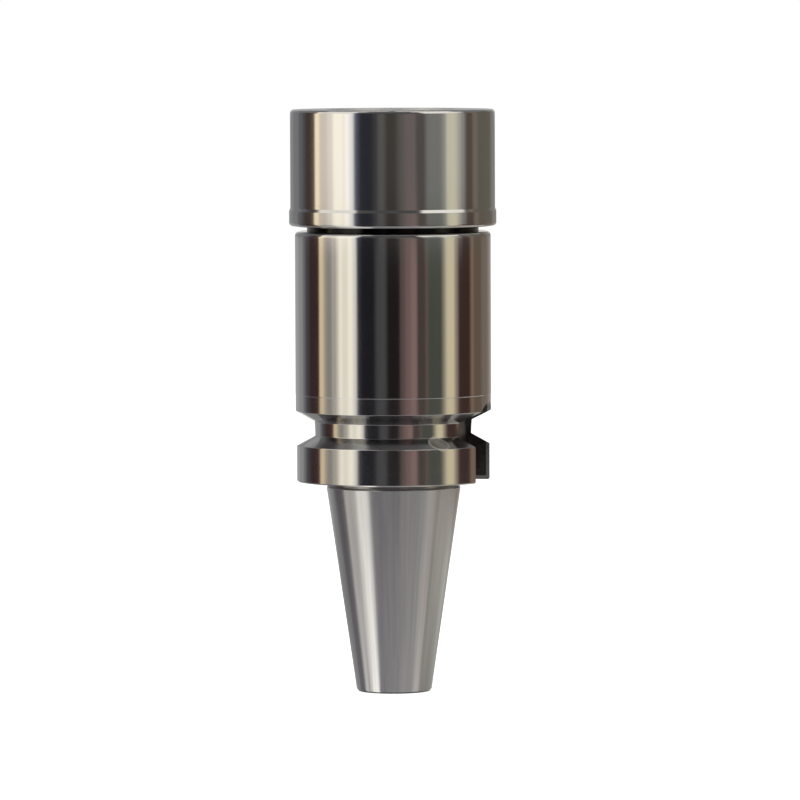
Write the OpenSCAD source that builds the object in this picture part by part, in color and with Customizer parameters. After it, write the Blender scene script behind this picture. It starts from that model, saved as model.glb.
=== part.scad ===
// Collet chuck with a steep-taper shank, in millimetres.
// The origin is the centre of the gauge line, and +Z points to the clamping nut.

/* [Taper shank] */
// Diameter of the cone at the gauge line
gauge_d = 31.75; // [31:0.25:34]
// Length of the cone below the gauge line
taper_len = 48.4; // [44:0.2:54]
// Rounding of the cone's small end
small_end_round = 1; // [0.3:0.1:1.5]
// Depth of the relief turned between cone and flange
neck_relief = 0.45; // [0.2:0.05:0.8]

/* [Flange] */
// Gap from the gauge line to the flange's rear face
flange_gap = 1.5; // [1:0.1:3]
// Diameter of the flange below the gripper groove
flange_d = 46; // [45:0.5:50]
// Chamfer on the flange's rear edge
flange_chamfer = 0.3; // [0.2:0.05:0.8]
// Height of the gripper groove's middle above the gauge line
groove_z = 14.1; // [13:0.1:15]
// Diameter of the gripper groove's floor
groove_land_d = 37.8; // [36:0.1:38.4]
// Width of the gripper groove's floor
groove_land_w = 3.3; // [2.5:0.1:4]
// Angle between the groove's two flanks
groove_angle = 60; // [54:1:64]
// Diameter of the rim above the groove
rim_d = 46.2; // [45:0.1:48]
// Height of the rim's end above the gauge line
rim_z = 22; // [21:0.1:26]
// Height of the fine bevel between rim and body
rim_bevel = 0.15; // [0.1:0.05:0.6]

/* [Drive slots] */
// Width of each drive slot, and diameter of its round end
slot_w = 16.1; // [14:0.1:18]
// Step from the cone's radius at the gauge line out to each slot's floor
slot_step = 0.425; // [0.3:0.005:1]
// Height of each slot's round end above the gauge line
slot_z = 20.4; // [18:0.1:21]

/* [Index dimple] */
// Diameter of the shallow dimple on the groove's lower flank
dimple_d = 4.2; // [3:0.1:4.4]
// Depth of the dimple
dimple_depth = 0.35; // [0.1:0.05:0.5]
// Turn of the dimple about the axis, from the first drive slot
dimple_turn = -47; // [-60:1:-36]

/* [Body] */
// Diameter of the round body
body_d = 46.3; // [46:0.1:52]
// Height of the body's shoulder above the gauge line
shoulder_z = 60.6; // [56:0.1:75]
// Rounding of the shoulder's edge
shoulder_round = 1.1; // [0.5:0.1:1.8]

/* [Nose] */
// Nominal diameter of the nose thread
nose_thread_d = 40; // [38:0.5:41]
// Pitch of the nose thread
nose_pitch = 1.5; // [1:0.25:2]
// Step from the thread's nominal radius out to the ground land that centres the nut
guide_step = 0.3; // [0.2:0.05:0.5]
// Length of the ground land above the shoulder
guide_len = 5; // [3:0.1:7]
// Width of the run-out grooves at both ends of the thread
runout_w = 1.2; // [0.8:0.1:2]
// Chamfer on the nose's outer edge
nose_chamfer = 1; // [0.5:0.1:1.5]

/* [Clamping nut] */
// Gap between shoulder and nut, with the nut tight
nut_gap = 1.2; // [0.3:0.1:2]
// Length of the nut
nut_len = 27.5; // [27:0.1:34]
// Diameter of the nut
nut_d = 48.4; // [47:0.1:54]
// Step from the nut's radius out to its lower lip
nut_lip_step = 0.3; // [0.1:0.05:1]
// Length of the lower lip, with its bevel
nut_lip_len = 4.3; // [3:0.1:7]
// Length of the lip's upper bevel
nut_lip_bevel = 0.7; // [0.3:0.1:1.2]
// Rounding of the nut's front edge
nut_front_round = 0.9; // [0.4:0.1:2]
// Rounding of the nut's rear edge
nut_rear_round = 0.8; // [0.4:0.1:1.2]
// Thickness of the nut's front wall
nut_wall = 4.35; // [3.5:0.05:5.5]
// Thickness of the ledge behind the retaining ring's groove
nut_ledge = 1.2; // [0.8:0.1:2]

/* [Ball thrust bearing] */
// Diameter of a ball
ball_d = 3; // [2.4:0.1:3.2]
// Diameter of the circle through the balls' centres
ball_circle_d = 33.8; // [33.4:0.1:34.4]
// Least space between neighbouring balls
ball_space = 0.2; // [0.1:0.05:1]
// Gap between the faces of nut and thrust ring, beside the balls
race_gap = 1.3; // [0.8:0.05:1.6]
// Width of the thrust ring's disc outside the balls
ring_margin = 0.3; // [0.25:0.05:0.8]
// Thickness of the thrust ring's disc
ring_t = 4.45; // [4:0.05:5.5]
// Diameter of the thrust ring's front collar
ring_collar_d = 29.4; // [28.8:0.1:29.8]
// Setback of the collar behind the nut's front face
ring_setback = 0.4; // [0.1:0.1:1]

/* [Retaining ring] */
// Thickness of the retaining ring
clip_t = 0.8; // [0.6:0.05:1.2]
// Depth of its groove in the nut
clip_groove = 0.8; // [0.5:0.05:0.9]
// Radial width of its band
clip_band = 1.9; // [1.5:0.1:2]
// Diameter of the lug at each end
clip_lug_d = 3; // [2.6:0.1:3.2]
// Diameter of the hole in each lug
clip_hole_d = 1.4; // [1:0.1:1.6]
// Angle of the gap between the ends
clip_opening = 30; // [20:1:60]

/* [Collet] */
// Diameter of the collet's bore
tool_d = 20; // [18.5:0.5:20.5]
// Length of the collet
collet_len = 49.2; // [44:0.2:52]
// Diameter of the cone's big end
collet_d = 28.6; // [28:0.1:28.9]
// Angle between the cone's two sides
collet_angle = 8; // [7:0.5:9]
// Diameter of the collet's nose
collet_nose_d = 25.3; // [24.5:0.1:25.8]
// Setback of the collet behind the nut's front face
collet_setback = 0.8; // [0.2:0.1:2]
// Width of the extraction groove
collet_groove_w = 2; // [1.6:0.1:2.6]
// Depth of the extraction groove below the rim
collet_groove = 1.15; // [0.8:0.05:1.4]
// Diameter of the rim in front of the groove
collet_rim_d = 28.1; // [27.4:0.1:28.4]
// Length of the rim's round part
collet_rim_w = 0.8; // [0.5:0.1:1.2]
// Number of slits from each end
slit_count = 6; // [4:1:8]
// Turn of the first slit about the axis, from the first drive slot
slit_turn = 10; // [0:5:25]
// Width of a slit
slit_w = 0.9; // [0.6:0.05:1.2]
// Diameter of the hole that ends a slit
slit_hole_d = 1.8; // [1.3:0.1:2.2]
// Length that each row of slits leaves whole at its far end
slit_bridge = 6.5; // [4:0.5:9]

/* [Stop screw] */
// Nominal diameter of the stop screw's thread
stop_d = 18; // [16:0.5:18.5]
// Pitch of the stop screw's thread
stop_pitch = 1.5; // [1:0.25:2]
// Length of the stop screw
stop_len = 14; // [11:0.5:20]
// Travel of the stop screw, each way
stop_travel = 5; // [2:0.5:8]
// Width across the flats of its socket
stop_hex = 8; // [6:0.5:9]
// Depth of its socket
stop_socket = 6; // [4:0.5:8]
// Diameter of its through hole
stop_hole_d = 5; // [3:0.5:5.5]

/* [Shank bores] */
// Length of the pocket between collet and stop screw thread
pocket_len = 10.5; // [6:0.5:16]
// Diameter of the coolant passage
passage_d = 8; // [5:0.5:8.5]
// Nominal diameter of the pull stud's thread
stud_thread_d = 12; // [11:0.5:12]
// Pitch of the pull stud's thread
stud_pitch = 1.75; // [1:0.25:1.75]
// Depth of the pull stud's thread from the small end
stud_thread_len = 24; // [20:0.5:30]
// Diameter of the pull stud's pilot bore
stud_pilot_d = 12.5; // [12.5:0.1:13.5]
// Depth of the pull stud's pilot bore
stud_pilot_len = 7; // [5:0.5:10]
// Depth of the drilled hole behind the thread
stud_drill_len = 10; // [6:0.5:14]

/* [Hidden] */
$fn = 96;

// Loss of diameter of the shank cone over its length: seven parts in twenty-four
taper_rate = 7 / 24;
// Angle of the collet's pressing face to the axis
press_angle = 30;
// Half of a drill's point angle
drill_angle = 59;
// Part of a pitch between a thread's nominal radius and its root
thread_root = 0.6134;
// Reach of a cut past the surface that it opens
past = 1;

// Clearances between pieces
guide_fit = 0.05;
seat_fit = 0.06;
race_fit = 0.06;
clip_fit = 0.05;
ring_fit = 0.1;
collet_fit = 0.1;
collar_fit = 0.2;
thread_fit = 0.3;
lip_fit = 0.3;
nose_fit = 0.4;
pocket_fit = 0.6;
stop_end_fit = 1;
seat_runout = 1.5;

// Edge breaks: on bores, on outer edges, and of the sharp edges of the flange
bore_break = 0.5;
fine_break = 0.3;
edge_break = 0.2;

// Heights in the nut, from its rear face to its front face and back down through the bearing
nut_rear_z = shoulder_z + nut_gap;
nut_front_z = nut_rear_z + nut_len;
wall_z = nut_front_z - nut_wall;
ball_z = wall_z - race_gap / 2;
ring_top_z = wall_z - race_gap;
ring_rear_z = ring_top_z - ring_t;
clip_front_z = ring_rear_z - ring_fit;
clip_groove_w = clip_t + 2 * clip_fit;
clip_groove_z = clip_front_z + clip_fit - clip_groove_w;
chamber_z = clip_groove_z - nut_ledge;
relief_z = chamber_z - runout_w;

// Radii in the nut
ring_r = (ball_circle_d + ball_d) / 2 + ring_margin;
chamber_r = ring_r + ring_fit;
opening_r = ring_collar_d / 2 + collar_fit;
guide_r = nose_thread_d / 2 + guide_step;

// Heights on the collet
collet_front_z = nut_front_z - collet_setback;
collet_rear_z = collet_front_z - collet_len;
lip_front_z = ring_rear_z + collet_groove_w - 2 * collet_fit - 2 * lip_fit;
rim_rear_z = lip_front_z + collet_fit;
rim_front_z = rim_rear_z + collet_rim_w;
press_front_z = rim_front_z + (collet_rim_d - collet_nose_d) / 2 / tan(press_angle);
collet_big_z = rim_rear_z - collet_groove_w;
groove_r = collet_rim_d / 2 - collet_groove;

// Heights in the body
small_end_z = -taper_len;
guide_end_z = shoulder_z + guide_len;
nose_z = chamber_z - nose_fit;
seat_end_z = collet_rear_z - seat_runout;
pocket_z = seat_end_z - pocket_len;
stop_zone_z = pocket_z - stop_len - 2 * stop_travel - 2 * stop_end_fit;
stop_rear_z = stop_zone_z + stop_travel + stop_end_fit;
stud_thread_z = small_end_z + stud_thread_len;
stud_drill_z = stud_thread_z + stud_drill_len;
land_low_z = groove_z - groove_land_w / 2;
land_high_z = groove_z + groove_land_w / 2;
groove_low_z = land_low_z - (flange_d - groove_land_d) / 2 * tan(groove_angle / 2);
groove_high_z = land_high_z + (rim_d - groove_land_d) / 2 * tan(groove_angle / 2);

// Radii in the body
slot_floor = gauge_d / 2 + slot_step;
nose_root_r = root_r(nose_thread_d, nose_pitch);
stud_drill_r = root_r(stud_thread_d, stud_pitch);

// Radius of the shank cone at a height
function shank_r(z) = (gauge_d + z * taper_rate) / 2;
// Radius of the collet's cone at a height
function cone_r(z) = collet_d / 2 + (z - collet_big_z) * tan(collet_angle / 2);
// Radius at a thread's root
function root_r(d, pitch) = d / 2 - thread_root * pitch;
// Height that a drill's point takes between two radii
function point_h(outer_r, inner_r) = (outer_r - inner_r) / tan(drill_angle);
// Vector of length one
function unit(v) = v / norm(v);
// Arc that rounds the corner b, between its neighbours a and c
function corner(a, b, c, radius) =
    let (
        u = unit([a[0] - b[0], a[1] - b[1]]),
        v = unit([c[0] - b[0], c[1] - b[1]]),
        half = acos(u * v) / 2,
        centre = [b[0], b[1]] + unit(u + v) * radius / sin(half),
        start = [b[0], b[1]] + u * radius / tan(half) - centre,
        end = [b[0], b[1]] + v * radius / tan(half) - centre,
        from = atan2(start[1], start[0]),
        turn = atan2(end[1], end[0]) - from,
        sweep = turn > 180 ? turn - 360 : turn < -180 ? turn + 360 : turn,
        steps = radius > fine_break ? 8 : 2
    )
    [for (i = [0:steps]) centre + radius * [cos(from + sweep * i / steps), sin(from + sweep * i / steps)]];
// Turned outline from corners [radius, height, rounding], with each rounding drawn as an arc
function rounded(corners) = let (n = len(corners)) [
    for (i = [0:n - 1])
        each len(corners[i]) == 3
            ? corner(corners[(i + n - 1) % n], corners[i], corners[(i + 1) % n], corners[i][2])
            : [corners[i]]
];

// Outside of the body, from the small end up to the nose
function holder_outside() = [
    [shank_r(small_end_z), small_end_z, small_end_round],
    [shank_r(0), 0],
    [shank_r(0) - neck_relief, neck_relief],
    [shank_r(0) - neck_relief, flange_gap],
    [flange_d / 2 - flange_chamfer, flange_gap],
    [flange_d / 2, flange_gap + flange_chamfer],
    [flange_d / 2, groove_low_z, edge_break],
    [groove_land_d / 2, land_low_z, edge_break],
    [groove_land_d / 2, land_high_z, edge_break],
    [rim_d / 2, groove_high_z, edge_break],
    [rim_d / 2, rim_z],
    [body_d / 2, rim_z + rim_bevel],
    [body_d / 2, shoulder_z, shoulder_round],
    [guide_r, shoulder_z],
    [guide_r, guide_end_z - fine_break],
    [guide_r - fine_break, guide_end_z],
    [nose_root_r - fine_break, guide_end_z],
    [nose_root_r - fine_break, guide_end_z + runout_w],
    [nose_root_r, guide_end_z + runout_w + fine_break],
    [nose_root_r, nose_z - nose_chamfer],
    [nose_root_r - nose_chamfer, nose_z]
];

// Inside of the body, from the nose down to the small end
function holder_inside() = [
    [cone_r(nose_z) + seat_fit + bore_break, nose_z],
    [cone_r(nose_z - bore_break) + seat_fit, nose_z - bore_break],
    [cone_r(seat_end_z) + seat_fit, seat_end_z],
    [tool_d / 2 + pocket_fit, seat_end_z],
    [tool_d / 2 + pocket_fit, pocket_z],
    [stop_d / 2 + bore_break, pocket_z],
    [stop_d / 2, pocket_z - bore_break],
    [stop_d / 2, stop_zone_z],
    [passage_d / 2, stop_zone_z - point_h(stop_d / 2, passage_d / 2)],
    [passage_d / 2, stud_drill_z + point_h(stud_drill_r, passage_d / 2)],
    [stud_drill_r, stud_drill_z],
    [stud_drill_r, stud_thread_z],
    [stud_thread_d / 2, stud_thread_z],
    [stud_thread_d / 2, small_end_z + stud_pilot_len],
    [stud_pilot_d / 2, small_end_z + stud_pilot_len],
    [stud_pilot_d / 2, small_end_z + bore_break],
    [stud_pilot_d / 2 + bore_break, small_end_z]
];

// Space swept by the end mill that cuts one drive slot
module drive_slot() {
    translate([slot_floor, 0, slot_z - slot_w / 2]) rotate([90, 0, 90])
        linear_extrude(body_d / 2) union() {
            circle(d = slot_w);
            translate([-slot_w / 2, -slot_z]) square([slot_w, slot_z]);
        }
}

// Shallow dish on the groove's lower flank
module dimple() {
    ball_r = (pow(dimple_d / 2, 2) + pow(dimple_depth, 2)) / (2 * dimple_depth);
    mid_r = (flange_d + groove_land_d) / 4;
    mid_z = (groove_low_z + land_low_z) / 2;
    rotate([0, 0, dimple_turn]) translate([mid_r, 0, mid_z]) rotate([0, groove_angle / 2, 0])
        intersection() {
            translate([0, 0, ball_r - dimple_depth]) sphere(ball_r);
            translate([0, 0, -dimple_depth - past]) cylinder(d = dimple_d + fine_break, h = dimple_depth + 2 * past);
        }
}

// Shank, flange, body and threaded nose, in one piece
module holder_body() {
    color([0.56, 0.57, 0.58]) difference() {
        rotate_extrude() polygon(rounded(concat(holder_outside(), holder_inside())));
        for (side = [0, 180]) rotate([0, 0, side]) drive_slot();
        dimple();
    }
}

// Round groove in which the balls run
module ball_race() {
    rotate_extrude() translate([ball_circle_d / 2, ball_z]) circle(ball_d / 2 + race_fit);
}

// Smooth round nut, bored for the nose and for the thrust bearing
module clamping_nut() {
    thread_r = nose_thread_d / 2;
    color([0.62, 0.62, 0.63]) difference() {
        rotate_extrude() polygon(rounded([
            [nut_d / 2 + nut_lip_step, nut_rear_z, nut_rear_round],
            [nut_d / 2 + nut_lip_step, nut_rear_z + nut_lip_len - nut_lip_bevel],
            [nut_d / 2, nut_rear_z + nut_lip_len],
            [nut_d / 2, nut_front_z, nut_front_round],
            [opening_r + bore_break, nut_front_z],
            [opening_r, nut_front_z - bore_break],
            [opening_r, wall_z],
            [chamber_r, wall_z],
            [chamber_r, clip_groove_z + clip_groove_w],
            [chamber_r + clip_groove, clip_groove_z + clip_groove_w],
            [chamber_r + clip_groove, clip_groove_z],
            [chamber_r, clip_groove_z],
            [chamber_r, chamber_z],
            [thread_r + thread_fit, chamber_z],
            [thread_r + thread_fit, relief_z],
            [thread_r, relief_z - thread_fit],
            [thread_r, guide_end_z + fine_break],
            [guide_r + guide_fit, guide_end_z + fine_break],
            [guide_r + guide_fit, nut_rear_z + bore_break],
            [guide_r + guide_fit + bore_break, nut_rear_z]
        ]));
        ball_race();
    }
}

// Ring that presses the collet's shoulder in and hooks its groove to pull it out
module thrust_ring() {
    collar_r = ring_collar_d / 2;
    collar_z = nut_front_z - ring_setback;
    lip_r = groove_r + collet_fit;
    rim_r = collet_rim_d / 2 + collet_fit;
    nose_r = collet_nose_d / 2 + collar_fit;
    color([0.70, 0.66, 0.52]) difference() {
        rotate_extrude() polygon([
            [lip_r, ring_rear_z],
            [ring_r - fine_break, ring_rear_z],
            [ring_r, ring_rear_z + fine_break],
            [ring_r, ring_top_z],
            [collar_r, ring_top_z],
            [collar_r, collar_z - fine_break],
            [collar_r - fine_break, collar_z],
            [nose_r + fine_break, collar_z],
            [nose_r, collar_z - fine_break],
            [nose_r, rim_front_z + (rim_r - nose_r) / tan(press_angle)],
            [rim_r, rim_front_z],
            [rim_r, lip_front_z],
            [lip_r, lip_front_z]
        ]);
        ball_race();
    }
}

// Full row of balls
module bearing_balls() {
    ball_count = floor(PI * ball_circle_d / (ball_d + ball_space));
    color([0.80, 0.81, 0.83])
        for (i = [0:ball_count - 1]) rotate([0, 0, 360 * i / ball_count])
            translate([ball_circle_d / 2, 0, ball_z]) sphere(d = ball_d);
}

// Open spring ring with a lug at each end
module retaining_ring() {
    outer_r = chamber_r + clip_groove - clip_fit;
    inner_r = outer_r - clip_band;
    lug_r = inner_r - clip_lug_d / 2 + fine_break;
    lug_turn = clip_opening / 2 + asin(clip_lug_d / 2 / lug_r);
    color([0.28, 0.28, 0.30]) translate([0, 0, clip_front_z - clip_t]) difference() {
        union() {
            difference() {
                cylinder(r = outer_r, h = clip_t);
                translate([0, 0, -past]) cylinder(r = inner_r, h = clip_t + 2 * past);
                translate([0, 0, -past]) linear_extrude(clip_t + 2 * past)
                    polygon([[0, 0], for (s = [-1, 1]) 2 * outer_r * [cos(clip_opening / 2), s * sin(clip_opening / 2)]]);
            }
            for (side = [-1, 1]) rotate([0, 0, side * lug_turn]) {
                translate([lug_r, 0, 0]) cylinder(d = clip_lug_d, h = clip_t);
                translate([lug_r, -clip_lug_d / 2, 0]) cube([inner_r - lug_r + fine_break, clip_lug_d, clip_t]);
            }
        }
        for (side = [-1, 1]) rotate([0, 0, side * lug_turn])
            translate([lug_r, 0, -past]) cylinder(d = clip_hole_d, h = clip_t + 2 * past);
    }
}

// Slotted spring sleeve
module collet() {
    tool_r = tool_d / 2;
    nose_r = collet_nose_d / 2;
    front_slit_z = collet_rear_z + slit_bridge;
    rear_slit_z = collet_big_z - slit_bridge / 2;
    color([0.66, 0.67, 0.69]) difference() {
        rotate_extrude() polygon([
            [tool_r + bore_break, collet_rear_z],
            [cone_r(collet_rear_z) - bore_break, collet_rear_z],
            [cone_r(collet_rear_z + bore_break), collet_rear_z + bore_break],
            [cone_r(collet_big_z - fine_break), collet_big_z - fine_break],
            [collet_d / 2 - fine_break, collet_big_z],
            [groove_r, collet_big_z],
            [groove_r, rim_rear_z],
            [collet_rim_d / 2, rim_rear_z],
            [collet_rim_d / 2, rim_front_z],
            [nose_r, press_front_z],
            [nose_r, collet_front_z - fine_break],
            [nose_r - fine_break, collet_front_z],
            [tool_r + bore_break, collet_front_z],
            [tool_r, collet_front_z - bore_break],
            [tool_r, collet_rear_z + bore_break]
        ]);
        rotate([0, 0, slit_turn]) for (i = [0:slit_count - 1]) {
            rotate([0, 0, 360 * i / slit_count]) slit(front_slit_z, collet_front_z + past, front_slit_z);
            rotate([0, 0, 360 * (i + 0.5) / slit_count]) slit(collet_rear_z - past, rear_slit_z, rear_slit_z);
        }
    }
}

// One saw cut through the collet's wall, with the round hole that ends it
module slit(low_z, high_z, hole_z) {
    inner_r = tool_d / 2 - past;
    length = (collet_d - tool_d) / 2 + 2 * past;
    translate([inner_r, -slit_w / 2, low_z]) cube([length, slit_w, high_z - low_z]);
    translate([inner_r, 0, hole_z]) rotate([0, 90, 0]) cylinder(d = slit_hole_d, h = length);
}

// Hollow preset screw with a hexagon socket
module stop_screw() {
    screw_r = root_r(stop_d, stop_pitch);
    hole_r = stop_hole_d / 2;
    top_z = stop_rear_z + stop_len;
    color([0.22, 0.22, 0.24]) difference() {
        rotate_extrude() polygon([
            [hole_r, stop_rear_z],
            [screw_r - bore_break, stop_rear_z],
            [screw_r, stop_rear_z + bore_break],
            [screw_r, top_z - bore_break],
            [screw_r - bore_break, top_z],
            [hole_r, top_z]
        ]);
        translate([0, 0, top_z - stop_socket]) cylinder(d = stop_hex / cos(30), h = stop_socket + past, $fn = 6);
    }
}

holder_body();
clamping_nut();
thrust_ring();
bearing_balls();
retaining_ring();
collet();
stop_screw();
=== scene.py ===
# %% [markdown]
# # A collet chuck in polished steel
# This lesson dresses a tool holder for a milling machine: a ground cone at the foot, a flange with
# a V groove for the tool changer, a round body and a smooth nut that closes a collet. Every part
# arrives at its true place and size, so the work here is finish, light and fine detail.
# Metal has no colour of its own to speak of. It shows what stands round it, so the lesson spends as
# much care on the room as on the steel.

# %% Load the frame
import math

import bmesh
import bpy
from mathutils import Matrix, Vector, noise


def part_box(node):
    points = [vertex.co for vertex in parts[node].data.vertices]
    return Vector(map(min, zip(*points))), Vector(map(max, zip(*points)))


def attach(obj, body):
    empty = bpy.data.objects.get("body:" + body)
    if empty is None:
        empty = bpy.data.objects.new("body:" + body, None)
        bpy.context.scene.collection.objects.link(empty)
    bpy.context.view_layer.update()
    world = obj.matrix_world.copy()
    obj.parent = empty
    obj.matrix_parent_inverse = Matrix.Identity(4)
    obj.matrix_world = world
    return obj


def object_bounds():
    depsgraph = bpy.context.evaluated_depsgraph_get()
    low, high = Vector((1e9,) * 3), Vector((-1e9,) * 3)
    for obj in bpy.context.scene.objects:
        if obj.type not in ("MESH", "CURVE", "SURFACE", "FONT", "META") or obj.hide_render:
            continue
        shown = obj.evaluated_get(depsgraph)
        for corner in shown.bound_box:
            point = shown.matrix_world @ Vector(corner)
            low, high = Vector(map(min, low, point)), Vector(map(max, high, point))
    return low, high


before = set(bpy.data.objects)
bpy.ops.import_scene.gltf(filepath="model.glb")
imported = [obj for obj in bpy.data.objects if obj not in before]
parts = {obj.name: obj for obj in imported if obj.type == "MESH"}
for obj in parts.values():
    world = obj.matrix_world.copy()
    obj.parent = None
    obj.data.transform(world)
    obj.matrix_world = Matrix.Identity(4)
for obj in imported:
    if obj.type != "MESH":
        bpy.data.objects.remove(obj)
cad_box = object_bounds()
MM = 0.001
print("nodes:", sorted(parts))
print("size in mm:", [round((high - low) / MM, 2) for low, high in zip(*cad_box)])

# %% [markdown]
# The photograph was taken from far away with a long lens, a little above the flange. A long lens
# keeps the two sides of the nut parallel, and a low viewpoint makes its round top a thin sliver.
# The camera is placed by the angle from which it looks and by the point at which it aims, which is
# easier to tune than a location: one value turns the holder, another raises the eye.

# %% Camera
FRAME_PX = 800
FOCAL_PX = 6766
SENSOR_MM = 36
DISTANCE = 1.6
TURN_DEG = 12.4
RAISE_DEG = 3.29
ROLL_DEG = -0.19
AIM_RIGHT = 1.58 * MM
AIM_HEIGHT = 20.56 * MM


def compass(degrees):
    """Unit vector on the floor: 0 points to -Y, and 90 to +X."""
    return Vector((math.sin(math.radians(degrees)), -math.cos(math.radians(degrees)), 0))


def raised(degrees, raise_deg):
    """Unit vector that points along the compass and then up."""
    up = math.radians(raise_deg)
    return compass(degrees) * math.cos(up) + Vector((0, 0, math.sin(up)))


aim = compass(TURN_DEG + 90) * AIM_RIGHT + Vector((0, 0, AIM_HEIGHT))
back = raised(TURN_DEG, RAISE_DEG)
lens = bpy.data.cameras.new("long_lens")
lens.sensor_width = SENSOR_MM
lens.lens = FOCAL_PX / FRAME_PX * SENSOR_MM
camera = bpy.data.objects.new("camera", lens)
bpy.context.scene.collection.objects.link(camera)
looking = (-back).to_track_quat("-Z", "Y").to_matrix().to_4x4()
roll = Matrix.Rotation(math.radians(ROLL_DEG), 4, "Z")
camera.matrix_world = Matrix.Translation(aim + back * DISTANCE) @ looking @ roll
bpy.context.scene.camera = camera
bpy.context.scene.view_settings.view_transform = "Standard"
print("lens in mm:", round(lens.lens, 1))

# %% [markdown]
# Materials are node trees, and most of them share a few steps. They could be built by hand in the
# shader editor, but a script can be read and run again. Small helpers keep the cells short: one
# starts an empty tree, one adds a node and sets its inputs, and the others write the arithmetic of
# masks in a line each.

# %% Helpers for materials
def new_material(name):
    made = bpy.data.materials.new(name)
    made.use_nodes = True
    made.node_tree.nodes.clear()
    return made


def add(tree, kind, **inputs):
    """Adds a node. Names with _ stand for inputs with spaces."""
    node = tree.node_tree.nodes.new(kind)
    for name, value in inputs.items():
        node.inputs[name.replace("_", " ")].default_value = value
    return node


def join(tree, source, target):
    tree.node_tree.links.new(source, target)


def give(tree, value, socket):
    """Sets a socket to a number or a colour, or joins it to the output of another node."""
    if isinstance(value, bpy.types.NodeSocket):
        join(tree, value, socket)
    else:
        socket.default_value = value


def maths(tree, operation, *values):
    """One step of arithmetic on numbers or on the outputs of other nodes."""
    node = add(tree, "ShaderNodeMath")
    node.operation = operation
    for socket, value in zip(node.inputs, values):
        give(tree, value, socket)
    return node.outputs[0]


def every(tree, *masks):
    """1 where every mask is 1."""
    total = masks[0]
    for mask in masks[1:]:
        total = maths(tree, "MULTIPLY", total, mask)
    return total


# %% [markdown]
# The floor is pale and goes on past the picture. A catcher that keeps only the shadow would do for
# a cut-out, but polished steel needs a real floor to mirror. For the camera, and in reflections, a
# little light of its own lifts it to white, while the shadow of the holder still darkens it. It
# lies a hair below the foot, because two faces in one plane flicker.

# %% Floor
FLOOR_DROP = 0.02 * MM
FLOOR_Z = cad_box[0].z - FLOOR_DROP
FLOOR_HALF = 40
FLOOR_PALE = (0.82, 0.82, 0.82, 1)
FLOOR_ROUGH = 0.9
FLOOR_GLOW = 0.57
WHITE = (1, 1, 1, 1)


def seen_directly(tree):
    """1 for rays from the camera, a reflection or a clear material, otherwise 0."""
    path = add(tree, "ShaderNodeLightPath")
    total = path.outputs["Is Camera Ray"]
    for name in ("Is Glossy Ray", "Is Transmission Ray"):
        total = maths(tree, "MAXIMUM", total, path.outputs[name])
    return total


def mesh_object(name, vertices, faces, material, smooth=False):
    """Puts a mesh of one material into the scene."""
    mesh = bpy.data.meshes.new(name)
    mesh.from_pydata(vertices, [], faces)
    mesh.materials.append(material)
    if smooth:
        mesh.shade_smooth()
    made = bpy.data.objects.new(name, mesh)
    bpy.context.scene.collection.objects.link(made)
    return made


pale = new_material("pale_floor")
surface = add(pale, "ShaderNodeBsdfPrincipled", Base_Color=FLOOR_PALE, Roughness=FLOOR_ROUGH)
surface.inputs["Specular IOR Level"].default_value = 0
surface.inputs["Emission Color"].default_value = WHITE
join(pale, maths(pale, "MULTIPLY", seen_directly(pale), FLOOR_GLOW), surface.inputs["Emission Strength"])
join(pale, surface.outputs[0], add(pale, "ShaderNodeOutputMaterial").inputs["Surface"])
corners = [(x * FLOOR_HALF, y * FLOOR_HALF, FLOOR_Z) for x, y in ((-1, -1), (1, -1), (1, 1), (-1, 1))]
floor = mesh_object("floor", corners, [(0, 1, 2, 3)], pale)
print("floor at", round(FLOOR_Z / MM, 2), "mm")

# %% [markdown]
# The world is a plain white room. A panorama of a real room could light the part, but the steel
# gets its own painted room below, so here one colour is enough: dim for the light that it gives,
# and full where it is seen.

# %% World
ROOM_LIGHT = 0.55
world = bpy.data.worlds.new("white_room")
world.use_nodes = True
bpy.context.scene.world = world
world.node_tree.nodes.clear()
strength = add(world, "ShaderNodeMapRange", To_Min=ROOM_LIGHT, To_Max=1.0)
join(world, seen_directly(world), strength.inputs["Value"])
sky = add(world, "ShaderNodeBackground", Color=WHITE)
join(world, strength.outputs[0], sky.inputs["Strength"])
join(world, sky.outputs[0], add(world, "ShaderNodeOutputWorld").inputs["Surface"])
print("world:", world.name, "at", ROOM_LIGHT)

# %% [markdown]
# Two broad lamps give the soft, plain light. A sun would throw one hard shadow, which a bright
# workshop never does. They are left out of reflections, because the cards below are what the steel
# mirrors.

# %% Lamps
LAMP_DISTANCE = 1.2
LAMP_SIZE = 0.8


def lamp(name, turn, raise_deg, watts):
    """Square lamp that looks at the part."""
    light = bpy.data.lights.new(name, "AREA")
    light.energy = watts
    light.size = LAMP_SIZE
    made = bpy.data.objects.new(name, light)
    bpy.context.scene.collection.objects.link(made)
    out = raised(TURN_DEG + turn, raise_deg)
    made.location = out * LAMP_DISTANCE
    made.rotation_mode = "QUATERNION"
    made.rotation_quaternion = out.to_track_quat("Z", "Y")
    made.visible_glossy = False
    print(name, "gives", watts, "watts")


lamp("soft_left", turn=-60, raise_deg=50, watts=9)
lamp("soft_right", turn=60, raise_deg=55, watts=6)

# %% [markdown]
# Polished steel is lit by what it mirrors. In the photograph it mirrors a dim workshop with one tall
# window to the left and a narrow bright doorway to the right. Photographers build such a room from
# cards: bright ones that give long highlights, and dark ones, called flags, that give them an edge.
# The cards here are painted in upright strips, and only reflections see them. A strip is a name, the
# turn at which it ends, how far it melts into the next, and its tone.

# %% Tones along a card
def grey(level):
    return (level, level, level)


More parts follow.
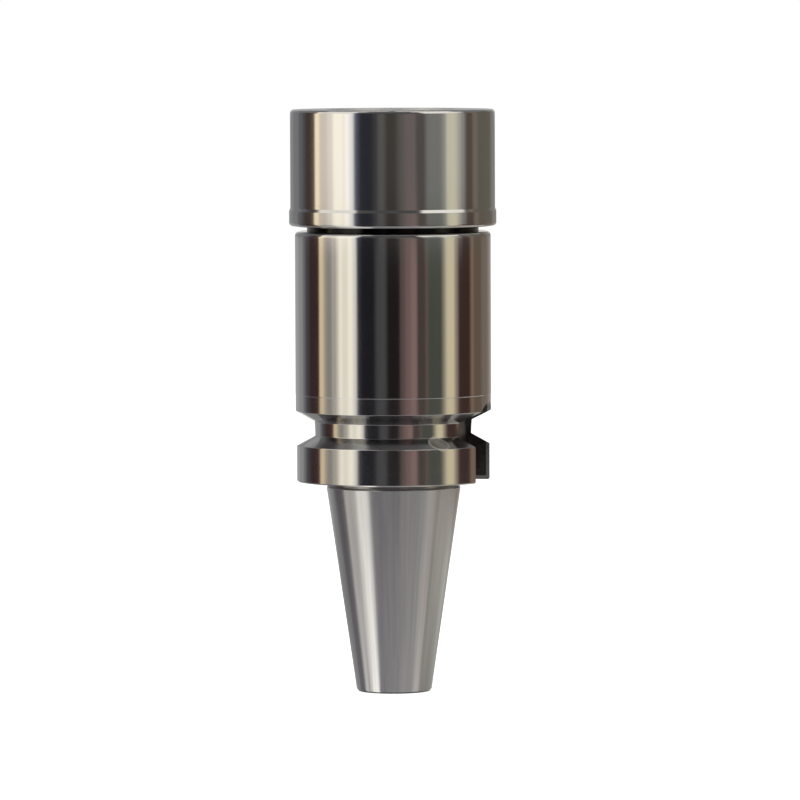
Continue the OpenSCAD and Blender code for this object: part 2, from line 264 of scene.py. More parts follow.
def tone_at(strips, turn):
    """Tone at a turn, with soft borders between the strips."""
    for (_, end, melt, tone), (_, _, _, after) in zip(strips, strips[1:] + strips[:1]):
        if turn < end + melt:
            share = min(1, max(0, (turn - end + melt) / (2 * melt)))
            share = share * share * (3 - 2 * share)
            return [a + (b - a) * share for a, b in zip(tone, after)]
    return list(strips[-1][3])


border = (("light", -10, 5, grey(1)), ("dark", 190, 5, grey(0)))
print("tones across a border:", [round(tone_at(border, turn)[0], 2) for turn in (-15, -12, -10, -8, -5)])

# %% [markdown]
# A round part doubles angles: where its side has turned by 20 degrees, it mirrors what stands at
# 40 degrees. A wall drawn round the axis would put every strip a little beside its place. So a
# strip's end is given as the turn into which the side throws the ray, and the wall follows the
# points where those rays arrive.

# %% Where a ray arrives
SIDE_R = 23.5 * MM


def thrown(start_r, reach, height):
    """Point that a ray reaches when a round side of radius start_r throws it into a turn."""
    up = Vector((0, 0, height))
    return lambda turn: compass(TURN_DEG + turn / 2) * start_r + compass(TURN_DEG + turn) * reach + up


print("a side turned by 20 degrees mirrors", [round(part, 3) for part in thrown(SIDE_R, 1, 0)(40)])

# %% [markdown]
# A card could carry an image, but colours stored on its vertices are the simplest paint: the tones
# stay readable in a table, and each can melt into the next. A little grain gives the fine lines
# that blinds and shelves leave in steel. The number of strips picks the row of noise it comes from,
# so each wall has grain of its own.

# %% Painted cards
STEP_DEG = 0.4
GRAIN = 0.11
GRAIN_DEG = 1.8
PAINT_LAYER = "tone"
TURNS = [-180 + STEP_DEG * i for i in range(round(360 / STEP_DEG) + 1)]

paint = new_material("painted_card")
colours = add(paint, "ShaderNodeVertexColor")
colours.layer_name = PAINT_LAYER
glow = add(paint, "ShaderNodeEmission")
join(paint, colours.outputs["Color"], glow.inputs["Color"])
join(paint, glow.outputs[0], add(paint, "ShaderNodeOutputMaterial").inputs["Surface"])
paint.cycles.emission_sampling = "NONE"


def band_faces(edge_count, point_count):
    """Faces between edges of point_count points each, closed into bands."""
    faces = []
    for below in range(0, (edge_count - 1) * point_count, point_count):
        above = below + point_count
        for i in range(point_count):
            j = (i + 1) % point_count
            faces.append((below + i, below + j, above + j, above + i))
    return faces


def card(name, edges):
    """Closed curved card. Each edge gives its point for a turn, its strips and a brightness."""
    points = [place(turn) for place, _, _ in edges for turn in TURNS]
    made = mesh_object(name, points, band_faces(len(edges), len(TURNS)), paint)
    shades = []
    for _, strips, brightness in edges:
        for turn in TURNS:
            grain = brightness * (1 + GRAIN * noise.noise(Vector((turn / GRAIN_DEG, len(strips), 0))))
            shades.append([part * grain for part in tone_at(strips, turn)])
    layer = made.data.color_attributes.new(PAINT_LAYER, "FLOAT_COLOR", "POINT")
    for stored, shade in zip(layer.data, shades):
        stored.color = (*shade, 1)
    made.visible_camera = False
    made.visible_diffuse = False
    made.visible_transmission = False
    made.visible_shadow = False
    print("card:", name, "with", len(edges), "edges")


print("points along an edge:", len(TURNS))

# %% [markdown]
# The body and the flange mirror the lower part of the wall. A holder stands in a room full of
# things, so the strips are named for what they could be: a window with its panes, a curtain beside
# it, a doorway, and cupboards in between.

# %% Wall behind the bench
WALL_REACH = 0.24
BENCH_Z = 52.4 * MM
LOW_WALL = (
    ("rear window", -172, 3, (0.98, 0.95, 0.90)),
    ("far wall", -148, 5, grey(0.43)),
    ("cabinet", -133, 3, grey(0.355)),
    ("cabinet side", -126, 3, (0.21, 0.20, 0.21)),
    ("its shadow", -117, 4, (0.09, 0.08, 0.082)),
    ("red oxide", -105, 3, (0.052, 0.032, 0.034)),
    ("curtain fold", -97.4, 1.8, (0.066, 0.028, 0.024)),
    ("sunlit curtain", -89.5, 2.5, (0.94, 0.76, 0.50)),
    ("curtain", -85, 3, (0.50, 0.44, 0.33)),
    ("post", -77.2, 2, (0.34, 0.32, 0.29)),
    ("frame", -69.8, 2, (0.55, 0.505, 0.435)),
    ("sill", -66.5, 2, (0.95, 0.87, 0.74)),
    ("left pane", -62, 1.5, (1.32, 1.23, 1.03)),
    ("middle pane", -54.5, 1.5, (1.13, 1.06, 0.88)),
    ("right pane", -48.5, 2, (1.38, 1.30, 1.08)),
    ("reveal", -43.3, 2.2, (1.05, 0.99, 0.89)),
    ("night edge", -38, 3, (0.042, 0.040, 0.050)),
    ("night", -20.5, 3.5, (0.018, 0.017, 0.022)),
    ("slate", -7.5, 3, (0.090, 0.086, 0.090)),
    ("black cloth", 8, 2, (0.018, 0.0145, 0.0145)),
    ("clay", 14, 3, (0.135, 0.10, 0.095)),
    ("rose", 21, 3, (0.24, 0.155, 0.14)),
    ("light rose", 28.3, 2, (0.33, 0.215, 0.195)),
    ("umber", 38.5, 2, (0.092, 0.066, 0.058)),
    ("lining", 42, 1, (0.16, 0.125, 0.10)),
    ("moss", 60.5, 3, (0.088, 0.095, 0.076)),
    ("jamb", 65, 3, (0.40, 0.36, 0.27)),
    ("doorway", 77.5, 3, (0.88, 0.76, 0.50)),
    ("door edge", 83, 2, (0.37, 0.29, 0.235)),
    ("walnut", 104, 3, (0.062, 0.033, 0.028)),
    ("oak", 110.5, 2, (0.28, 0.195, 0.14)),
    ("plaster", 128, 4, (0.175, 0.128, 0.09)),
    ("lit plaster", 150, 6, (0.24, 0.19, 0.155)),
    ("far wall", 173, 5, (0.38, 0.33, 0.30)),
    ("rear window", 190, 3, (0.98, 0.95, 0.90)),
)


def upright(height):
    """Edge of the wall at a height."""
    return thrown(SIDE_R, WALL_REACH, height)


card("low_wall", ((upright(FLOOR_Z), LOW_WALL, 1), (upright(BENCH_Z), LOW_WALL, 1)))
print("strips:", len(LOW_WALL))

# %% [markdown]
# The nut mirrors the wall higher up and gets strips of its own, because a room never looks the same
# at two heights: the window is brighter here, where no bench stands before it.

# %% Wall above the bench
WALL_TOP = 0.2
NUT_WALL = (
    ("rear window", -172, 3, (0.98, 0.95, 0.90)),
    ("far wall", -150, 5, (0.31, 0.31, 0.315)),
    ("cabinet", -131, 3, (0.255, 0.253, 0.262)),
    ("cabinet side", -121, 3, (0.165, 0.162, 0.172)),
    ("its shadow", -115, 3, (0.115, 0.10, 0.103)),
    ("rust", -104.5, 3, (0.079, 0.057, 0.052)),
    ("curtain fold", -97.8, 1.5, (0.14, 0.10, 0.075)),
    ("sunlit curtain", -90.5, 2, (1.47, 1.26, 0.90)),
    ("curtain", -78.5, 3, (0.98, 0.86, 0.72)),
    ("frame", -70.5, 2, (1.14, 1.05, 0.92)),
    ("left pane", -58, 2, (1.58, 1.46, 1.22)),
    ("middle pane", -54.5, 1, (1.43, 1.31, 1.15)),
    ("right pane", -49.5, 1.5, (1.60, 1.50, 1.33)),
    ("reveal", -44, 2.2, (1.22, 1.19, 1.17)),
    ("blue edge", -38, 2.5, (0.10, 0.107, 0.165)),
    ("dusk", -21.5, 5, (0.033, 0.036, 0.044)),
    ("slate", -18.5, 2.5, (0.075, 0.070, 0.077)),
    ("light slate", -8, 3, (0.145, 0.137, 0.127)),
    ("brown", 5, 4, (0.078, 0.068, 0.059)),
    ("stone", 13, 4, (0.145, 0.14, 0.127)),
    ("rose stone", 26, 2, (0.21, 0.175, 0.167)),
    ("umber", 37.5, 3, (0.122, 0.106, 0.098)),
    ("moss", 57.5, 4, (0.265, 0.262, 0.245)),
    ("jamb", 62.5, 2, (0.42, 0.415, 0.36)),
    ("doorway", 77.5, 4, (0.82, 0.79, 0.61)),
    ("door edge", 83, 3, (0.58, 0.55, 0.46)),
    ("far jamb", 89.5, 3, (0.37, 0.36, 0.335)),
    ("walnut", 102, 3, (0.135, 0.10, 0.084)),
    ("oak", 111, 3, (0.24, 0.205, 0.16)),
    ("plaster", 145, 6, (0.168, 0.15, 0.123)),
    ("far wall", 173, 5, (0.27, 0.265, 0.235)),
    ("rear window", 190, 3, (0.98, 0.95, 0.90)),
)
card("nut_wall", ((upright(BENCH_Z), NUT_WALL, 1), (upright(WALL_TOP), NUT_WALL, 1)))
print("strips:", len(NUT_WALL))

# %% [markdown]
# A ceiling with a soft light on each side closes the room from above. It gives the thin white lines
# along the nut's edge and its lip, which lean upwards. Area lamps in their place would mirror as
# rectangles with hard edges, where painted light melts into the dark beside it.

# %% Ceiling
CEILING_R = 0.28
SOFT_R = 0.10
SOFT_START = 0.8
CEILING_HOLE_R = 1 * MM
CEILING = (
    ("dim", -101, 2, grey(0.24)),
    ("left softbox", -45, 2, (1.15, 1.10, 1.02)),
    ("dark", 35, 3, grey(0.095)),
    ("right softbox", 93, 2, (1.25, 1.20, 1.10)),
    ("dim", 190, 3, grey(0.22)),
)
OVERHEAD = (
    ("dim", -101, 2, grey(0.26)),
    ("left softbox", -45, 3, (1.05, 1.01, 0.94)),
    ("dark", 35, 3, grey(0.22)),
    ("right softbox", 93, 2, (1.30, 1.25, 1.15)),
    ("dim", 190, 3, grey(0.25)),
)


def polar(radius, height):
    """Edge of a flat round card."""
    up = Vector((0, 0, height))
    return lambda turn: compass(TURN_DEG + turn) * radius + up


card("ceiling", (
    (polar(CEILING_HOLE_R, WALL_TOP), OVERHEAD, 1),
    (polar(SOFT_R * SOFT_START, WALL_TOP), OVERHEAD, 1),
    (polar(SOFT_R, WALL_TOP), CEILING, 1),
    (polar(CEILING_R, WALL_TOP), CEILING, 1),
))

# %% [markdown]
# The eye is only just above the nut's flat top, so the top mirrors what stands straight behind the
# part. A plain grey panel there keeps it an even tone, as a sheet of card does in a studio.

# %% Back panel
PANEL_Z = cad_box[1].z - 5.3 * MM
PANEL_HALF = 0.09
PANEL_BACK = 0.2
PANEL = (("panel", 190, 5, grey(0.48)),)


def backdrop(height):
    """Edge of a straight panel behind the part."""
    def place(turn):
        aside = compass(TURN_DEG + 90) * (PANEL_HALF * turn / 180)
        return compass(TURN_DEG + 180) * PANEL_BACK + aside + Vector((0, 0, height))
    return place


card("back_panel", ((backdrop(PANEL_Z), PANEL, 1), (backdrop(WALL_TOP), PANEL, 1)))

# %% [markdown]
# The cone leans outwards from its small end, so it looks down and mirrors the table. To keep its
# highlights straight, the painted boards on the table start at the foot and follow the directions
# in which the cone throws each ray. They darken a little towards the wall, and on the right towards
# the foot as well.

# %% Table boards
FOOT_R = 8.8 * MM
BOARD_LIFT = 0.07 * MM
BOARD_Z = FLOOR_Z + BOARD_LIFT
BOARD_REACH = 0.13
CONE_GROWTH = 0.056
FOOT_LIGHT = 1.02
BOARD_LIGHT = 0.84
FAR_LIGHT = 0.8
TABLE = (
    ("far wall", -150, 4, grey(0.38)),
    ("cabinet", -126, 5, (0.32, 0.315, 0.32)),
    ("shadow", -100, 3, (0.195, 0.18, 0.195)),
    ("curtain", -86, 2, (0.74, 0.70, 0.68)),
    ("frame", -76.5, 2, (0.64, 0.61, 0.59)),
    ("sill", -69, 2, (0.92, 0.88, 0.83)),
    ("pane", -50, 2, (1.36, 1.32, 1.24)),
    ("reveal", -44.5, 2, (1.05, 1.03, 1.01)),
    ("night", -23, 3, (0.30, 0.283, 0.30)),
    ("slate", 12, 4, (0.335, 0.327, 0.33)),
    ("rose", 28, 4, (0.40, 0.385, 0.38)),
    ("moss", 52, 4, (0.415, 0.405, 0.395)),
    ("jamb", 60, 3, (0.46, 0.45, 0.43)),
    ("doorway", 82, 3, (0.61, 0.57, 0.54)),
    ("walnut", 92, 4, (0.45, 0.42, 0.395)),
    ("plaster", 130, 6, (0.63, 0.595, 0.54)),
    ("lit plaster", 150, 6, (0.75, 0.73, 0.67)),
    ("far wall", 190, 5, (0.48, 0.47, 0.45)),
)
FOOT_SHARE = {"walnut": 0.82, "plaster": 0.56, "lit plaster": 0.5}


def board(reach):
    """Edge of the table boards, at a reach along each ray thrown by the cone."""
    return thrown(FOOT_R + reach * CONE_GROWTH, reach, BOARD_Z)


foot_table = tuple(
    (name, end, melt, [part * FOOT_SHARE.get(name, 1) for part in tone])
    for name, end, melt, tone in TABLE
)
card("table", (
    (board(0), foot_table, FOOT_LIGHT),
    (board(BOARD_REACH), TABLE, BOARD_LIGHT),
    (board(WALL_REACH), TABLE, FAR_LIGHT),
))
print("boards:", len(TABLE))

# %% [markdown]
# The foot is rounded, so a narrow wedge of shadow lies under its edge, and the steel mirrors that
# wedge as a dark line. Here the floor's own light would fill it, so a dark disc stands for it.

# %% Shade under the foot
FOOT_SHADE = (("shade", 190, 5, grey(0.09)),)
SHADE_HOLE_R = 0.01 * MM
card("foot_shade", (
    (polar(SHADE_HOLE_R, BOARD_Z), FOOT_SHADE, 1),
    (polar(FOOT_R, BOARD_Z), FOOT_SHADE, 1),
))

# %% [markdown]
# A finish covers a place, such as the cone, the groove or the slot. It could be given to chosen
# faces, but the solids come with meshes that stay as they are. So a place is described by sums on
# the point being shaded: its height, its radius, and whether these lie between two sizes. A mask
# then picks the number or the colour that holds there.

# %% Places on the part
def place_of(tree):
    """x, y, height and radius of a point on the part, in metres."""
    split = add(tree, "ShaderNodeSeparateXYZ")
    join(tree, add(tree, "ShaderNodeTexCoord").outputs["Object"], split.inputs[0])
    x, y, z = split.outputs
    squares = maths(tree, "ADD", maths(tree, "MULTIPLY", x, x), maths(tree, "MULTIPLY", y, y))
    return x, y, z, maths(tree, "SQRT", squares)


def between(tree, value, low, high):
    """1 where the value lies between low and high."""
    return every(tree, maths(tree, "GREATER_THAN", value, low), maths(tree, "LESS_THAN", value, high))


def pick(tree, mask, inside, outside, kind="FLOAT"):
    """Number or colour that is inside where the mask is 1 and outside where it is 0."""
    blend = add(tree, "ShaderNodeMix")
    blend.data_type = kind
    join(tree, mask, blend.inputs[0])
    first = 2 if kind == "FLOAT" else 6
    give(tree, outside, blend.inputs[first])
    give(tree, inside, blend.inputs[first + 1])
    return blend.outputs[0 if kind == "FLOAT" else 2]


# %% [markdown]
# Three kinds of fine mark show on used steel: rings from the lathe, soft clouds where hands and
# cloths have been, and lines along the cone, which is wiped lengthwise. Grooves in the mesh would
# need millions of faces, so all three are noise that is stretched to follow them. Noise on the
# radius and the height alone makes rings, and noise on the direction from the axis makes lines.
# Noise runs from 0 to 1, and its middle stands for steel without a mark.

# %% Marks of the lathe, the hand and the cloth
EVEN = 0.5


def fine_noise(tree, x, y, z):
    """Noise from 0 to 1 at a place that is given by three numbers."""
    where = add(tree, "ShaderNodeCombineXYZ")
    for socket, value in zip(where.inputs, (x, y, z)):
        give(tree, value, socket)
    found = add(tree, "ShaderNodeTexNoise", Scale=1.0, Detail=2.0, Roughness=0.6)
    join(tree, where.outputs[0], found.inputs["Vector"])
    return found.outputs["Fac"]


def lathe_rings(tree, z, across, pitch):
    """Noise in rings round the axis, a pitch apart, on walls and on faces alike."""
    return fine_noise(tree, maths(tree, "DIVIDE", across, pitch), 0, maths(tree, "DIVIDE", z, pitch))


def wipe_marks(tree, x, y, z, across, fineness, length):
    """Noise in lines along the axis, as cloth and stone leave when drawn lengthwise."""
    round_x, round_y = (
        maths(tree, "MULTIPLY", maths(tree, "DIVIDE", side, across), fineness) for side in (x, y)
    )
    return fine_noise(tree, round_x, round_y, maths(tree, "DIVIDE", z, length))


def clouded(tree, value, size, share):
    """The value with soft clouds of a size, as handling leaves on polished steel."""
    clouds = add(tree, "ShaderNodeTexNoise", Scale=1 / size, Detail=3.0, Roughness=0.55)
    join(tree, add(tree, "ShaderNodeTexCoord").outputs["Object"], clouds.inputs["Vector"])
    swing = maths(tree, "SUBTRACT", clouds.outputs["Fac"], EVEN)
    return maths(tree, "ADD", value, maths(tree, "MULTIPLY", swing, share))


# %% [markdown]
# Turned and ground steel is covered in rings finer than a hair, so it blurs reflections along the
# axis more than round it. Bump alone can't do that at this size. An anisotropic shader does, when
# its tangent runs round Z and its blur is turned by a quarter.

# %% Bare steel
LATHE_STRETCH = 0.6
QUARTER_TURN = 0.25
RING_PITCH = 0.11 * MM
RING_DEPTH = 0.0004 * MM


def bare_steel(tree, colour, roughness, stretch, ring_depth):
    """Ends the tree in bare metal that the lathe has turned."""
    _, _, z, across = place_of(tree)
    shader = add(tree, "ShaderNodeBsdfPrincipled", Metallic=1, Anisotropic=stretch)
    shader.inputs["Anisotropic Rotation"].default_value = QUARTER_TURN
    give(tree, colour, shader.inputs["Base Color"])
    give(tree, roughness, shader.inputs["Roughness"])
    tangent = add(tree, "ShaderNodeTangent")
    tangent.direction_type = "RADIAL"
    tangent.axis = "Z"
    join(tree, tangent.outputs[0], shader.inputs["Tangent"])
    bump = add(tree, "ShaderNodeBump", Strength=1.0, Distance=ring_depth)
    join(tree, lathe_rings(tree, z, across, RING_PITCH), bump.inputs["Height"])
    join(tree, bump.outputs[0], shader.inputs["Normal"])
    join(tree, shader.outputs[0], add(tree, "ShaderNodeOutputMaterial").inputs["Surface"])
    return tree


def dress(node, material):
    """Gives a CAD node its finish."""
    parts[node].data.materials.clear()
    parts[node].data.materials.append(material)
    print(node, "wears", material.name)


print("rings:", round(1 / (RING_PITCH / MM), 1), "to the millimetre")

# %% [markdown]
# The body is one forging with several finishes. The cone is ground satin, the flange is turned
# satin, and the round body above the fine line is polished. The drive slots and the index dimple are
# cut before hardening and never touched again. The neck behind the flange and the recess behind the
# nut are places for painted shade. This cell says where these places are. A slot ends in a half
# circle, so its mask measures the distance from the slot's middle line, which ends at SLOT_END_Z. A
# box would fit the straight part, but would darken the corners outside the round end.

# %% Places on the body
POLISH_Z = 22.1 * MM
POLISH_R = 22.8 * MM
# Painted shade: the neck behind the flange is darkened with a share of the scale colour.
NECK_Z = (0.1 * MM, 1.48 * MM)
NECK_R = 21 * MM
nut_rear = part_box("clamping_nut")[0].z
# The narrow gap behind the nut is painted near black here, as painted shade.
RECESS_Z = (nut_rear - 1.8 * MM, nut_rear + 0.1 * MM)
RECESS_R = 21.9 * MM
# Flanks of the V groove, which are painted darker as painted shade in the groove.
FLANK_R = (19.0 * MM, 23.05 * MM)
FLANK_Z = (10.1 * MM, 18.15 * MM)
SLOT_HALF = 8.06 * MM
SLOT_END_Z = 12.35 * MM
SLOT_FLOOR = 16.2 * MM
# Slot edges that are painted pale: wear, and a painted highlight along the edges.
WORN_HIGHLIGHT_R = 22.2 * MM
WORN_HIGHLIGHT_Z = 2.4 * MM
DIMPLE_TURN = -47
DIMPLE_R = 2.12 * MM
# Outer edge of the pale ring that is painted round the dimple as a highlight.
DIMPLE_RIM_R = 2.65 * MM
DIMPLE_AT = (20.95 * MM, 0, 11.27 * MM)


def slot_mask(tree, x, y, z):
    """1 on the walls and the floor of both drive slots."""
    over = maths(tree, "MAXIMUM", maths(tree, "SUBTRACT", z, SLOT_END_Z), 0)
    reach = maths(tree, "ADD", maths(tree, "MULTIPLY", y, y), maths(tree, "MULTIPLY", over, over))
    return every(
        tree,
        maths(tree, "LESS_THAN", reach, SLOT_HALF ** 2),
        maths(tree, "GREATER_THAN", maths(tree, "ABSOLUTE", x), SLOT_FLOOR),
        between(tree, z, 0, SLOT_END_Z + SLOT_HALF),
    )


def dimple_distance(tree):
    """Distance from the middle of the index dimple."""
    apart = add(tree, "ShaderNodeVectorMath")
    apart.operation = "DISTANCE"
    join(tree, add(tree, "ShaderNodeTexCoord").outputs["Object"], apart.inputs[0])
    apart.inputs[1].default_value = Matrix.Rotation(math.radians(DIMPLE_TURN), 3, "Z") @ Vector(DIMPLE_AT)
    return apart.outputs["Value"]


print("slot:", round(2 * SLOT_HALF / MM, 2), "mm wide")

# %% [markdown]
# What the furnace has darkened in the slots keeps a mottled scale. The neck behind the flange gets a
# share of the same dark as painted shade, and the narrow gap at the recess is painted plain dark as
# painted shade. The flanks of the V groove are turned and left, and painted a little darker than the
# rest as painted shade in the groove. The rim of the dimple is painted pale as a painted highlight.
# The edges of the slots are rubbed pale by the changer and the drive keys, and the same pale paint
# stands in for the highlights along them. The cone is wiped before each use, which leaves faint lines
# along it. The tones are those of bare metal, which is never quite white or black. Roughness runs
# from 0, a mirror, to 1, chalk.

# %% Tones and roughness of the body
# Light streaks of the wiped cone, and the painted highlight on the dimple's rim.
WIPED_LIGHT_AND_RIM_HIGHLIGHT = (0.71, 0.71, 0.70, 1)
WIPED_DEEP = (0.49, 0.49, 0.50, 1)
# Painted shade: the groove's turned flanks are painted darker than the rest.
TURNED_FLANK_SHADE = (0.46, 0.46, 0.46, 1)
# Pale of rubbed slot edges, which also serves as a painted highlight along them.
WORN_EDGE_HIGHLIGHT = (0.60, 0.59, 0.59, 1)
# Dark scale of the slots; the neck wears it too, in part, as painted shade.
SCALE_AND_SHADE = (0.075, 0.068, 0.066, 1)
PALE_SCALE_AND_SHADE = (0.15, 0.135, 0.125, 1)
# Painted shade for the narrow gap behind the nut.
GAP_SHADE = (0.018, 0.018, 0.018, 1)
POLISHED_ROUGH = 0.10
TURNED_ROUGH = 0.15
GROUND_ROUGH = 0.22
DIMPLE_ROUGH = 0.36
SCALE_ROUGH = 0.45
BODY_CLOUD = 9 * MM
BODY_CLOUDS = 0.05
SCALE_SPOT = 1.6 * MM
SCALE_CONTRAST = 2.5
# Share of the scale colour that the neck gets as painted shade.
NECK_SHADE_SHARE = 0.6
WIPE_LINES = 16
WIPE_LENGTH = 25 * MM
print("roughness: polished", POLISHED_ROUGH, "turned", TURNED_ROUGH, "ground", GROUND_ROUGH)

# %% [markdown]
# Each place could have a material of its own, but one material holds them all: the part then stays
# one piece, as it is in steel. The masks are laid over one another as coats of paint are, and a
# later one covers the earlier ones.

# %% Body
def body_steel():
    tree = new_material("body_steel")
    x, y, z, across = place_of(tree)
    cone = maths(tree, "LESS_THAN", z, 0.0)
    polished = every(
        tree,
        maths(tree, "GREATER_THAN", z, POLISH_Z),
        maths(tree, "GREATER_THAN", across, POLISH_R),
    )
    slot = slot_mask(tree, x, y, z)
    outer = maths(tree, "GREATER_THAN", across, WORN_HIGHLIGHT_R)
    edge = maths(tree, "MAXIMUM", outer, maths(tree, "LESS_THAN", z, WORN_HIGHLIGHT_Z))
    neck = every(tree, between(tree, z, *NECK_Z), maths(tree, "LESS_THAN", across, NECK_R))
    gap_shade_mask = every(tree, between(tree, z, *RECESS_Z), maths(tree, "LESS_THAN", across, RECESS_R))
    flank_shade = every(tree, between(tree, across, *FLANK_R), between(tree, z, *FLANK_Z))
    # Scale in the slots, and a share of it on the neck as painted shade.
    dark = maths(tree, "MAXIMUM", slot, maths(tree, "MULTIPLY", neck, NECK_SHADE_SHARE))
    from_dimple = dimple_distance(tree)

    rough = pick(tree, polished, POLISHED_ROUGH, pick(tree, cone, GROUND_ROUGH, TURNED_ROUGH))
    rough = clouded(tree, rough, BODY_CLOUD, BODY_CLOUDS)
    rough = pick(tree, between(tree, from_dimple, 0, DIMPLE_RIM_R), DIMPLE_ROUGH, rough)
    rough = pick(tree, dark, SCALE_ROUGH, rough)

    lines = pick(tree, cone, wipe_marks(tree, x, y, z, across, WIPE_LINES, WIPE_LENGTH), EVEN)
    spots = clouded(tree, EVEN, SCALE_SPOT, SCALE_CONTRAST)
    spots = maths(tree, "MINIMUM", maths(tree, "MAXIMUM", spots, 0), 1)
    scale = pick(tree, spots, PALE_SCALE_AND_SHADE, SCALE_AND_SHADE, "RGBA")
    colour = pick(tree, lines, WIPED_LIGHT_AND_RIM_HIGHLIGHT, WIPED_DEEP, "RGBA")
    # Painted shade in the V groove: its flanks are painted darker.
    colour = pick(tree, flank_shade, TURNED_FLANK_SHADE, colour, "RGBA")
    # Painted highlight: a pale ring round the dimple's rim.
    colour = pick(tree, between(tree, from_dimple, DIMPLE_R, DIMPLE_RIM_R), WIPED_LIGHT_AND_RIM_HIGHLIGHT, colour, "RGBA")
    colour = pick(tree, dark, scale, colour, "RGBA")
    # Pale slot edges: wear from the drive keys and a painted edge highlight.
    colour = pick(tree, every(tree, slot, edge), WORN_EDGE_HIGHLIGHT, colour, "RGBA")
    # Painted shade: the recess in the gap behind the nut is painted near black.
    colour = pick(tree, gap_shade_mask, GAP_SHADE, colour, "RGBA")
    return bare_steel(tree, colour, rough, LATHE_STRETCH, RING_DEPTH)


dress("holder_body", body_steel())

# %% [markdown]
# The nut is turned, hardened and polished on a wheel. It is a shade more satin than the body, so
# its reflections have the same bands with softer darks. The narrow chamfer round its mouth is cut
# last and left as cut, so it is matt, and it is painted pale as a painted highlight. It could be a
# ring of its own, but on the real nut it is the same piece, so it is one more mask.

# %% Nut
MOUTH_Z = cad_box[1].z - 0.55 * MM
MOUTH_R = 15.6 * MM
POLISHED = (0.60, 0.60, 0.60, 1)
# Painted highlight: the chamfer round the nut's mouth is painted near white.
CUT_MOUTH_HIGHLIGHT = (0.92, 0.92, 0.91, 1)
CUT_ROUGH = 0.6
NUT_ROUGH = 0.13
NUT_CLOUD = 8 * MM
NUT_CLOUDS = 0.06


def nut_steel():
    tree = new_material("nut_steel")
    _, _, z, across = place_of(tree)
    mouth = every(tree, maths(tree, "GREATER_THAN", z, MOUTH_Z), maths(tree, "LESS_THAN", across, MOUTH_R))
    rough = pick(tree, mouth, CUT_ROUGH, clouded(tree, NUT_ROUGH, NUT_CLOUD, NUT_CLOUDS))
    # Painted highlight on the mouth's chamfer, which is also matt.
    colour = pick(tree, mouth, CUT_MOUTH_HIGHLIGHT, POLISHED, "RGBA")
    return bare_steel(tree, colour, rough, LATHE_STRETCH, RING_DEPTH)


dress("clamping_nut", nut_steel())

# %% [markdown]
# The small parts inside show from above and when the nut is unscrewed. The thrust ring and the
# collet are ground, the balls are mirrors, the circlip is phosphated spring steel, and the preset
# screw is black from its oxide bath. Plain colours would do for what is so small, but these five
# differ mostly in how they shine, so one recipe takes the shine from a table.

# %% Small parts
SMALL_CLOUD = 4 * MM


def small_part(name, colour, roughness, stretch, clouds, ring_depth):
    tree = new_material(name)
    rough = clouded(tree, roughness, SMALL_CLOUD, clouds)
    return bare_steel(tree, (*colour, 1), rough, stretch, ring_depth)


# Node, finish, colour, roughness, stretch, share of clouds, depth of the rings
SMALL_PARTS = (
    ("thrust_ring", "ring_steel", (0.60, 0.58, 0.53), 0.22, 0.5, 0.08, 0.0008 * MM),
    ("bearing_balls", "ball_steel", (0.68, 0.68, 0.69), 0.05, 0.0, 0.02, 0.0),
    ("retaining_ring", "spring_steel", (0.055, 0.055, 0.060), 0.48, 0.0, 0.15, 0.002 * MM),
    ("collet", "collet_steel", (0.58, 0.585, 0.60), 0.20, 0.5, 0.08, 0.0008 * MM),
    ("stop_screw", "screw_steel", (0.040, 0.040, 0.045), 0.38, 0.2, 0.12, 0.002 * MM),
)
for node, *finish in SMALL_PARTS:
    dress(node, small_part(*finish))

# %% [markdown]
# The solids have plain cylinders where the threads are. A real thread is a ridge wound round its
# core, with flanks that lean. Its foot takes two thirds of the pitch and its crest a tenth, so both
# are given here as shares of the pitch. The profile needs six corners: two of them are sunk into the
# core, so that no gap shows at the foot.

# %% Profile of a ridge
FOOT_HALF = 0.33
CREST_HALF = 0.05
SUNK = 0.04 * MM


def ridge_profile(foot_r, crest_r, pitch):
    """Corners of a ridge as radius and height, from its sunk foot over its crest and back."""
    sunk_r = foot_r - math.copysign(SUNK, crest_r - foot_r)
    low, high = -FOOT_HALF * pitch, FOOT_HALF * pitch
    tip = CREST_HALF * pitch
    return (sunk_r, low), (foot_r, low), (crest_r, -tip), (crest_r, tip), (foot_r, high), (sunk_r, high)


SAMPLE_PITCH = 1.5 * MM
SAMPLE_RIDGE = (19 * MM, 20 * MM, SAMPLE_PITCH)
print("corners of a ridge:", len(ridge_profile(*SAMPLE_RIDGE)))

# %% [markdown]
# A screw modifier could wind the profile, but its ends would stay blunt. So each profile is placed
# step by step along the helix, and grows from nothing at one end and fades out at the other. All
# ridges rise anticlockwise, which makes them right-handed.

# %% Winding a ridge
STEPS_PER_TURN = 72
FADE_TURNS = 0.35
FIRST_GROWTH = 0.03


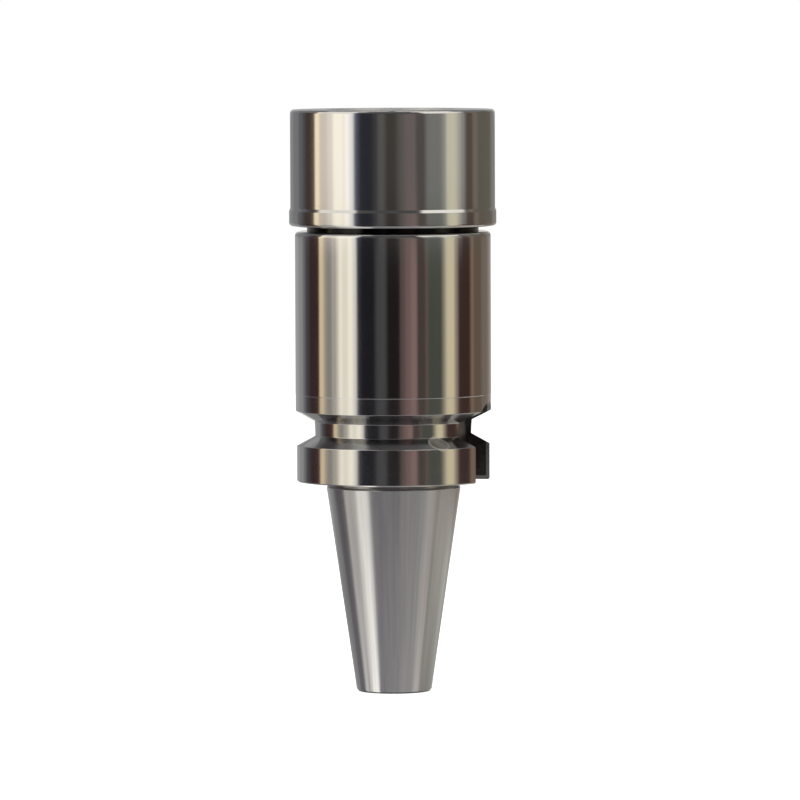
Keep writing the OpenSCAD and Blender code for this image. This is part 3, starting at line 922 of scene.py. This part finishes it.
def wound(foot_r, crest_r, pitch, first_z, last_z):
    """Points and faces of a ridge whose middle runs from first_z to last_z, in metres."""
    turns = (last_z - first_z) / pitch
    count = round(turns * STEPS_PER_TURN)
    rings = []
    for i in range(count + 1):
        turn = turns * i / count
        grown = min(1, max(FIRST_GROWTH, min(turn, turns - turn) / FADE_TURNS))
        out = Vector((math.cos(math.tau * turn), math.sin(math.tau * turn), 0))
        profile = ridge_profile(foot_r, foot_r + (crest_r - foot_r) * grown, pitch)
        rings.append([out * r + Vector((0, 0, first_z + turn * pitch + aside)) for r, aside in profile])
    corners = len(rings[0])
    faces = [tuple(range(corners)), tuple(range(count * corners, (count + 1) * corners))]
    for i in range(count):
        for k in range(corners):
            a, b = i * corners + k, i * corners + (k + 1) % corners
            faces.append((a, b, b + corners, a + corners))
    return [point for ring in rings for point in ring], faces


print("one turn of ridge has", len(wound(*SAMPLE_RIDGE, 0, SAMPLE_PITCH)[1]), "faces")

# %% [markdown]
# A ridge in the nut grows inwards and one on the nose outwards, so half of them come out with their
# faces turned in, and those would be shaded as if seen from inside. Blender can turn them out by
# itself. A smooth finish rounds the flanks, and the angle of SHARP_DEG keeps their edges crisp.

# %% Finishing a ridge
SHARP_DEG = 25


def turn_faces_out(mesh):
    shape = bmesh.new()
    shape.from_mesh(mesh)
    bmesh.ops.recalc_face_normals(shape, faces=shape.faces)
    shape.to_mesh(mesh)
    shape.free()


def thread(name, body, slot_name, carrier, *sizes):
    """Ridge that moves with a body and wears the finish of the node that carries it."""
    points, faces = wound(*sizes)
    made = mesh_object(name, points, faces, parts[carrier].data.materials[0], smooth=True)
    turn_faces_out(made.data)
    made.data.set_sharp_from_angle(angle=math.radians(SHARP_DEG))
    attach(made, body)
    print(name, "has", len(faces), "faces")


# %% [markdown]
# Four threads are wound. The ridge in the nut stands half a pitch from the one on the nose, so the
# two pass through each other's grooves as the nut turns. The nut climbs by one pitch in each turn,
# and the ridges move with their bodies, so they stay clear of each other all the way up.

# %% Threads
# Name, body, slot, node that carries it, then radius at foot and crest, pitch, first and last height
THREADS_MM = (
    ("nose_thread", "holder", "body_steel", "holder_body", (19.08, 19.93, 1.5, 67.65, 75.1)),
    ("nut_thread", "nut", "nut_steel", "clamping_nut", (20.0, 19.2, 1.5, 66.9, 75.0)),
    ("stud_thread", "holder", "body_steel", "holder_body", (6.0, 5.05, 1.75, -40.8, -25.0)),
    ("stop_thread", "stop", "screw_steel", "stop_screw", (8.08, 8.9, 1.5, 7.9, 20.7)),
)
for name, body, slot_name, carrier, sizes in THREADS_MM:
    thread(name, body, slot_name, carrier, *(size * MM for size in sizes))
